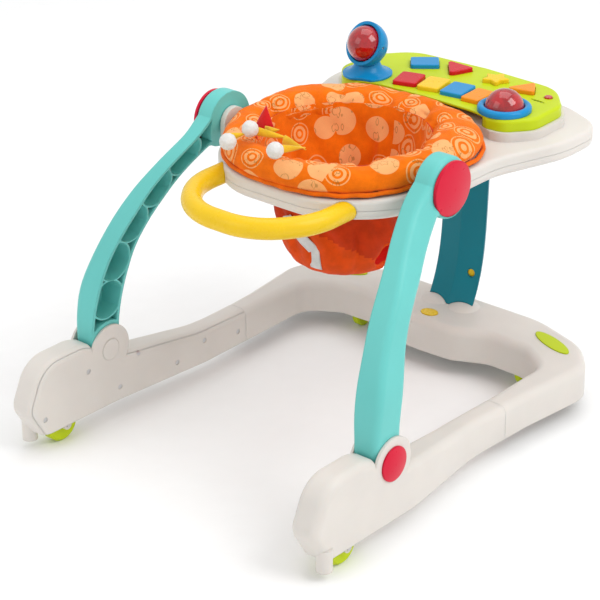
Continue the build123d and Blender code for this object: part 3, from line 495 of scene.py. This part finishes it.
def inflate(piece):
    """Remeshes a closed form and swells it as pressurised cloth, within a cap."""
    remesh = piece.modifiers.new("remesh", "REMESH")
    remesh.mode = "VOXEL"
    remesh.voxel_size = 0.0045
    apply_modifier(piece, remesh)
    before = [v.co.copy() for v in piece.data.vertices]
    if SOLVE:
        solver = piece.modifiers.new("cloth", "CLOTH")
        solver.settings.use_pressure = True
        solver.settings.uniform_pressure_force = 4.0
        solver.settings.effector_weights.gravity = 0.0
        solver.settings.tension_stiffness = 20.0
        solver.settings.quality = 5
        solver.point_cache.frame_end = 20
        for when in range(1, 21):
            bpy.context.scene.frame_set(when)
        apply_modifier(piece, solver)
        bpy.context.scene.frame_set(1)
    for vertex, start in zip(piece.data.vertices, before):
        move = vertex.co - start
        if move.length > CLOTH_CAP:
            vertex.co = start + move * (CLOTH_CAP / move.length)
    subdivide = piece.modifiers.new("subdivide", "SUBSURF")
    subdivide.levels = 1
    apply_modifier(piece, subdivide)


def shape_rim():
    """The padded rim with its folds, piping and fabric grid."""
    turns, around = 150, 44
    section = closed_curve(SECTION, around)
    points = []
    for i in range(turns):
        angle = 2 * math.pi * i / turns
        for r, z in section:
            spread = (rim_reach(angle) - TUBE_R) / (SECTION_REACH - TUBE_R) if r > TUBE_R else 1.0
            r_in = TUBE_R + (r - TUBE_R) * START_SIZE * spread
            z_in = TUBE_Z + (z - TUBE_Z) * START_SIZE + crest(angle) * max(0.0, (z - 0.402) / 0.038)
            points.append(ring_point(angle, r_in, z_in))
    rim = new_piece("seat_rim", points, grid_faces(turns, around, True, True), COLOURS["cushion"])
    inflate(rim)
    for vertex in rim.data.vertices:
        here = vertex.co
        angle = ring_angle(here)
        radius = math.hypot(here.x, here.y - RING_Y)
        high = min(1.0, max(0.0, (here.z - 0.404) / 0.03))
        inward = min(1.0, max(0.0, (TUBE_R + 0.012 - radius) / 0.03))
        dip = fold_depth(angle) * (0.25 + 0.75 * inward) * high
        soft = noise.fractal(Vector((angle * 4.0, radius * 45, here.z * 40)), 0.8, 2.0, 3) * SOFT_DEEP * high
        gather = GATHER_DEEP * math.sin(angle * 46 + 3 * noise.noise(here * 30)) * inward * high
        out = (radius - TUBE_R) / max(0.001, math.hypot(radius - TUBE_R, here.z - TUBE_Z))
        up = (here.z - TUBE_Z) / max(0.001, math.hypot(radius - TUBE_R, here.z - TUBE_Z))
        grow = soft + gather - FOLD_DEEP * dip
        ray = Vector((math.sin(angle), -math.cos(angle), 0))
        vertex.co = here + ray * (grow * out) + Vector((0, 0, grow * up))
    around_tube = lambda p: 0.026 * math.atan2(p.z - TUBE_Z, math.hypot(p.x, p.y - RING_Y) - TUBE_R)
    lay_cloth_grid(rim, lambda p: 0.139 * ring_angle(p), around_tube, 0.278 * math.pi)
    for face in rim.data.polygons:
        face.use_smooth = True
    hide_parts("cushion")
    welt = []
    for i in range(240):
        angle = 2 * math.pi * i / 240
        welt.append(ring_point(angle, rim_reach(angle) - 0.0062, 0.4058 + 0.0006 * math.sin(i * 0.7)))
    tube("rim_piping", welt, 0.0032, PIPING, closed=True)
    return rim


shape_rim()

# ---------------------------------------------------------------- cloth seat under the rim
WELL = [(0.1185, 0.428), (0.1150, 0.410), (0.1110, 0.388), (0.1010, 0.350), (0.0940, 0.302), (0.0780, 0.258),
        (0.0560, 0.2415), (0.0280, 0.234), (0.002, 0.232)]
HOLE_Y, HOLE_Z, HOLE_LONG, HOLE_HIGH = 0.032, 0.274, 0.038, 0.026
LINING_TOP = 0.335            # inside, the printed cloth comes down to here
HEM_HIGH, HEM_DROP = 0.320, 0.055   # the upper panel's hem at the rear, and its fall towards the sides
SHEET_T = 0.0022


def open_curve(points, count):
    """Smooth points along an open line."""
    made = []
    last = len(points) - 1
    for i in range(count):
        place = i * last / (count - 1)
        k = min(int(place), last - 1)
        t = place - k
        p = [Vector((*points[min(max(k + d, 0), last)], 0)) for d in (-1, 0, 1, 2)]
        value = (p[1] * 2 + (p[2] - p[0]) * t + (p[0] * 2 - p[1] * 5 + p[2] * 4 - p[3]) * t * t
                 + (p[1] * 3 - p[0] - p[2] * 3 + p[3]) * t ** 3) * 0.5
        made.append((value.x, value.y))
    return made


def seat_point(angle, radius, height):
    """Point of the seat cloth, with its hanging folds."""
    depth = min(1.0, max(0.0, (0.425 - height) / 0.08))
    low = min(1.0, max(0.0, (height - 0.234) / 0.05))
    swing = 0.006 * fold_depth(angle) * depth * low
    ripple = 0.0022 * math.sin(angle * 17 + 2.5 * math.sin(height * 40)) * depth * low
    drift = 0.004 * noise.noise(Vector((math.sin(angle) * 2, math.cos(angle) * 2, height * 18))) * low
    return ring_point(angle, radius - swing - ripple + drift, height)


def in_leg_hole(point):
    """True inside either leg hole's outline."""
    span = ((point.y - HOLE_Y) / HOLE_LONG) ** 2 + ((point.z - HOLE_Z) / HOLE_HIGH) ** 2
    return abs(point.x) > 0.035 and span < 1


def shape_seat():
    """Seat bag: one sheet of cloth of two colours, with its leg holes cut out."""
    turns = 220
    line = open_curve(WELL, 90)
    points = [seat_point(2 * math.pi * i / turns, r, z) for i in range(turns) for r, z in line]
    faces = []
    for face in grid_faces(turns, len(line), wrap_rows=True):
        middle = sum((points[k] for k in face), Vector()) / 4
        if not in_leg_hole(middle):
            faces.append(face)
    seat = new_piece("seat_cloth", points, faces, COLOURS["sling"])
    for extra in (UPPER_ORANGE, UPPER_ORANGE, INNER_RED, INNER_RED, COLOURS["cushion"]):
        seat.data.materials.append(extra)
    for face in seat.data.polygons:
        hem = HEM_HIGH - HEM_DROP * math.sin(ring_angle(face.center)) ** 2
        face.material_index = 0
        if face.center.z > LINING_TOP:
            face.material_index = 2
        elif face.center.z > hem:
            face.material_index = 1
    lay_cloth_grid(seat, lambda p: 0.11 * ring_angle(p), lambda p: p.z, 0.22 * math.pi)
    thick = seat.modifiers.new("thick", "SOLIDIFY")
    thick.thickness = SHEET_T
    thick.offset = 1.0
    thick.material_offset = 3
    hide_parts("seat_sling")
    return seat


shape_seat()


def sling_surface(angle, height, lift):
    """Point on the seat's outside at a height, moved outward by lift."""
    for (r0, z0), (r1, z1) in zip(WELL, WELL[1:]):
        if z1 <= height <= z0:
            t = (z0 - height) / (z0 - z1)
            return seat_point(angle, r0 + (r1 - r0) * t + lift, height)
    return seat_point(angle, WELL[-1][0] + lift, height)


def shape_leg_bindings():
    """Rolled binding round each leg hole."""
    for side, name in ((1, "right"), (-1, "left")):
        points = []
        for i in range(60):
            turn = 2 * math.pi * i / 60
            y = HOLE_Y + HOLE_LONG * math.cos(turn)
            z = HOLE_Z + HOLE_HIGH * math.sin(turn)
            low = 0.0
            high = math.pi
            for _ in range(30):
                angle = (low + high) / 2
                if sling_surface(angle, z, 0).y < y:
                    low = angle
                else:
                    high = angle
            place = sling_surface(angle, z, 0.001)
            points.append(Vector((side * place.x, place.y, place.z)))
        tube("leg_binding_" + name, points, 0.0030, COLOURS["sling"], closed=True)


shape_leg_bindings()


# ---------------------------------------------------------------- webbing strap
STRAP_W, STRAP_TOP, STRAP_LOW = 0.017, 0.333, 0.257


def strap_angle(t):
    """Where the strap's middle runs round the seat, from its top (0) to its end (1)."""
    return -0.20 + 0.40 * min(1.0, max(0.0, t / 0.6)) - 0.04 * max(0.0, t - 0.6)


def strap_line(t):
    """Middle of the strap on the seat's outside."""
    height = STRAP_TOP + (STRAP_LOW - STRAP_TOP) * t
    return sling_surface(strap_angle(t), height, SHEET_T + 0.0016)


def shape_strap():
    """Flat webbing down the seat's outside."""
    rows, columns = 60, 9
    points = []
    for i in range(rows):
        t = i / (rows - 1)
        ahead = strap_line(t + 0.01) - strap_line(t - 0.01)
        outward = Vector((math.sin(strap_angle(t)), -math.cos(strap_angle(t)), 0))
        side = ahead.cross(outward).normalized()
        for j in range(columns):
            reach = (j / (columns - 1) - 0.5) * STRAP_W
            edge = 0.0004 * math.cos(math.pi * 2 * (j / (columns - 1) - 0.5))
            points.append(strap_line(t) + side * reach + outward * edge)
    strap = new_piece("webbing", points, grid_faces(rows, columns), COLOURS["webbing"])
    lay_cloth_grid(strap, lambda p: p.x, lambda p: p.z, 9.0)
    thick = strap.modifiers.new("thick", "SOLIDIFY")
    thick.thickness = 0.0014
    thick.offset = 1.0
    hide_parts("seat_strap")


shape_strap()

# ---------------------------------------------------------------- trims on the rim
POMPOMS = [(-0.067, -0.137, 0.449), (-0.062, -0.098, 0.4565), (0.012, -0.132, 0.455)]
POMPOM_R = 0.012


def shape_pompoms():
    """Wool balls with cut, uneven pile."""
    form = bmesh.new()
    for x, y, z in POMPOMS:
        made = bmesh.ops.create_icosphere(form, subdivisions=5, radius=1.0)
        for vertex in made["verts"]:
            ray = vertex.co.copy()
            lump = 0.06 * noise.noise(ray * 2.5 + Vector((x * 90, y * 90, 0)))
            pile = 0.035 * noise.noise(ray * 26) + 0.025 * noise.noise(ray * 60)
            vertex.co = Vector((x, y, z)) + ray * (POMPOM_R * (0.95 + lump + pile))
    mesh = bpy.data.meshes.new("wool_balls")
    form.to_mesh(mesh)
    form.free()
    for face in mesh.polygons:
        face.use_smooth = True
    mesh.materials.append(COLOURS["pompom"])
    piece = bpy.data.objects.new("wool_balls", mesh)
    bpy.context.scene.collection.objects.link(piece)
    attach(piece, "tray")
    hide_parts("pompoms")


shape_pompoms()


def leaf(name, foot, tip, width, bow, material, thick=0.0016):
    """Pointed, bowed tongue of felt from its foot to its tip."""
    rows, columns = 26, 9
    run = tip - foot
    side = run.cross(Vector((0.35, -0.9, 0.3))).normalized()
    out = side.cross(run).normalized()
    points = []
    for i in range(rows):
        t = i / (rows - 1)
        half = width / 2 * (1 - t) ** 0.85 * (1 + 0.25 * math.sin(math.pi * t)) + 0.0004
        for j in range(columns):
            s = 2 * j / (columns - 1) - 1
            lift = bow * math.sin(math.pi * t) + 0.0018 * (1 - s * s)
            lift += 0.0008 * noise.noise(foot * 80 + run * (t * 60))
            points.append(foot + run * t + side * (half * s) + out * lift)
    piece = new_piece(name, points, grid_faces(rows, columns), material)
    lay_cloth_grid(piece, lambda p: p.x + p.y, lambda p: p.z, 9.0)
    body = piece.modifiers.new("thick", "SOLIDIFY")
    body.thickness = thick
    return piece


red_leaf = leaf("felt_leaf", Vector((-0.058, -0.072, 0.441)), Vector((-0.062, -0.064, 0.480)), 0.028, 0.004,
                COLOURS["felt"])
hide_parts("felt_points")
RIBBONS = [((-0.060, -0.090, 0.452), (-0.014, -0.070, 0.446), 0.0110),
           ((-0.052, -0.078, 0.450), (-0.030, -0.074, 0.456), 0.0130),
           ((-0.020, -0.078, 0.446), (0.020, -0.078, 0.441), 0.0120),
           ((0.006, -0.122, 0.452), (0.020, -0.080, 0.445), 0.0110),
           ((-0.084, -0.124, 0.446), (-0.062, -0.104, 0.452), 0.0105)]
for number, (foot, tip, width) in enumerate(RIBBONS):
    strip = leaf("ribbon_%d" % number, Vector(foot), Vector(tip), width, 0.003, RIBBON, 0.0010)

# ---------------------------------------------------------------- floor, light and camera
def build_stage():
    """Pale floor and soft studio light."""
    floor = new_stage_plane()
    material, tree, shader = start_material("studio_floor")
    paper = noise_value(tree, object_coords(tree), 30.0, 3.0)
    base = blend_colours(tree, paper, (0.93, 0.93, 0.93), (0.97, 0.97, 0.97))
    tree.links.new(base, shader.inputs["Base Color"])
    shader.inputs["Roughness"].default_value = 0.9
    shader.inputs["Specular IOR Level"].default_value = 0.1
    floor.data.materials.append(material)
    world = bpy.data.worlds.new("studio")
    world.use_nodes = True
    world.node_tree.nodes["Background"].inputs[0].default_value = (1, 1, 1, 1)
    world.node_tree.nodes["Background"].inputs[1].default_value = 0.78
    bpy.context.scene.world = world
    lamp("key", (2.6, 0.6, 3.0), 2.2, 55)
    lamp("fill", (-1.2, -3.2, 2.4), 2.4, 16)
    lamp("top", (-0.3, 0.8, 3.4), 2.6, 26)


def new_stage_plane():
    """Large floor sheet at Z = 0."""
    half = FLOOR_SIZE / 2
    mesh = bpy.data.meshes.new("floor")
    corners = [(-half, -half, 0), (half, -half, 0), (half, half, 0), (-half, half, 0)]
    mesh.from_pydata(corners, [], [(0, 1, 2, 3)])
    floor = bpy.data.objects.new("floor", mesh)
    bpy.context.scene.collection.objects.link(floor)
    return floor


def lamp(name, place, size, power):
    """Square soft box aimed at the object."""
    data = bpy.data.lights.new(name, "AREA")
    data.size = size
    data.energy = power
    light = bpy.data.objects.new(name, data)
    light.location = place
    aim = Vector((0, 0, 0.25)) - Vector(place)
    light.rotation_euler = aim.to_track_quat("-Z", "Y").to_euler()
    bpy.context.scene.collection.objects.link(light)


def place_camera(target, azimuth, elevation, distance, roll, lens):
    """Camera on a sphere round the target; azimuth 0 looks along +Y."""
    az, el = math.radians(azimuth), math.radians(elevation)
    back = Vector((math.sin(az) * math.cos(el), -math.cos(az) * math.cos(el), math.sin(el)))
    data = bpy.data.cameras.new("camera")
    data.lens = lens
    data.sensor_width = 36
    camera = bpy.data.objects.new("camera", data)
    camera.location = target + back * distance
    turn = (-back).to_track_quat("-Z", "Y").to_matrix().to_4x4()
    camera.rotation_euler = (turn @ roll_matrix(roll)).to_euler()
    bpy.context.scene.collection.objects.link(camera)
    bpy.context.scene.camera = camera


def roll_matrix(degrees):
    """Turn about the camera's own line of sight."""
    return Matrix.Rotation(math.radians(degrees), 4, "Z")


build_stage()
place_camera(Vector((-0.0238, -0.0420, 0.1927)), 40.538, 25.664, 3.176684, -0.422, 136.2)
bpy.context.scene.view_settings.view_transform = "Standard"
